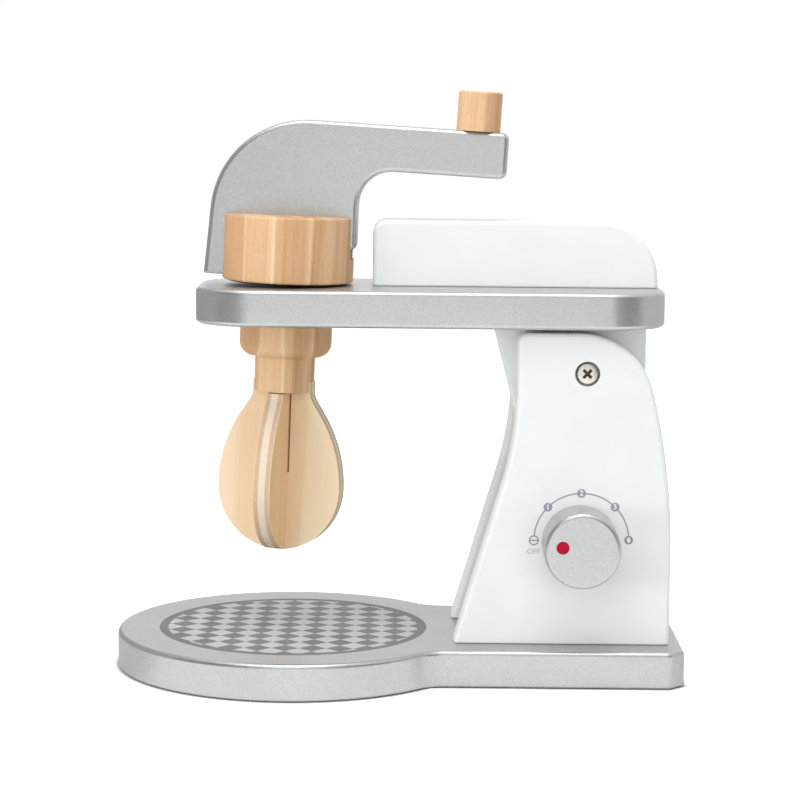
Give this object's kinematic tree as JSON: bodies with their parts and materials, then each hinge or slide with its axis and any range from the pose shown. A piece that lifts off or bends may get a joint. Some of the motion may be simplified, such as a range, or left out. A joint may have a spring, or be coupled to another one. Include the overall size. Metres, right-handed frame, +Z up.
{
  "type": "wooden toy stand mixer",
  "caption": "Wooden toy stand mixer: round-ended base board, twin-panel post with a dial knob, tilting head, and a hand crank on top that spins a crossed-plate whisk.",
  "frame": {"origin": "under the middle of the base board, on the surface that it stands on", "axes": "+Z up, +X from the bowl end towards the post, +Y away from the dial knob's side"},
  "size_m": [0.188, 0.118, 0.1926],
  "materials": {
    "silver_paint": "satin silver paint with fine metal flakes on wood",
    "white_paint": "satin white paint on wood",
    "turned_wood": "clear matt lacquer on pale turned hardwood",
    "plywood": "clear matt lacquer on plywood with bare layered edges",
    "screw_steel": "nickel-plated steel",
    "washer_rubber": "black soft washer"
  },
  "bodies": {
    "base": {"base_board": "silver_paint", "front_panel": "white_paint", "rear_panel": "white_paint", "stop_rail": "turned_wood", "foot_screw_set": "screw_steel"},
    "head": {"hinge_block": "white_paint", "pivot_screws": "screw_steel", "head_board": "silver_paint", "board_screw_set": "screw_steel", "head_cover": "white_paint", "cover_dowels": "turned_wood"},
    "knob": {"control_knob": "silver_paint", "knob_washer": "screw_steel", "knob_screw": "screw_steel"},
    "crank": {"crank_hub": "turned_wood", "hub_washer": "washer_rubber", "crank_arm": "silver_paint", "crank_peg": "turned_wood", "whisk_spindle": "turned_wood", "whisk_plate_a": "plywood", "whisk_plate_b": "plywood"}
  },
  "joints": [
    {"name": "head_tilt", "type": "hinge", "parent": "base", "child": "head", "pos_m": [0.0612, 0, 0.1015], "axis": [0, 1, 0], "range_deg": [0, 38]},
    {"name": "crank_spin", "type": "hinge", "parent": "head", "child": "crank", "pos_m": [-0.0376, 0, 0.122], "axis": [0.0297, 0, 0.9996], "continuous": true},
    {"name": "knob_turn", "type": "hinge", "parent": "base", "child": "knob", "pos_m": [0.0595, -0.0255, 0.0462], "axis": [0, 1, 0], "range_deg": [0, 170]}
  ]
}
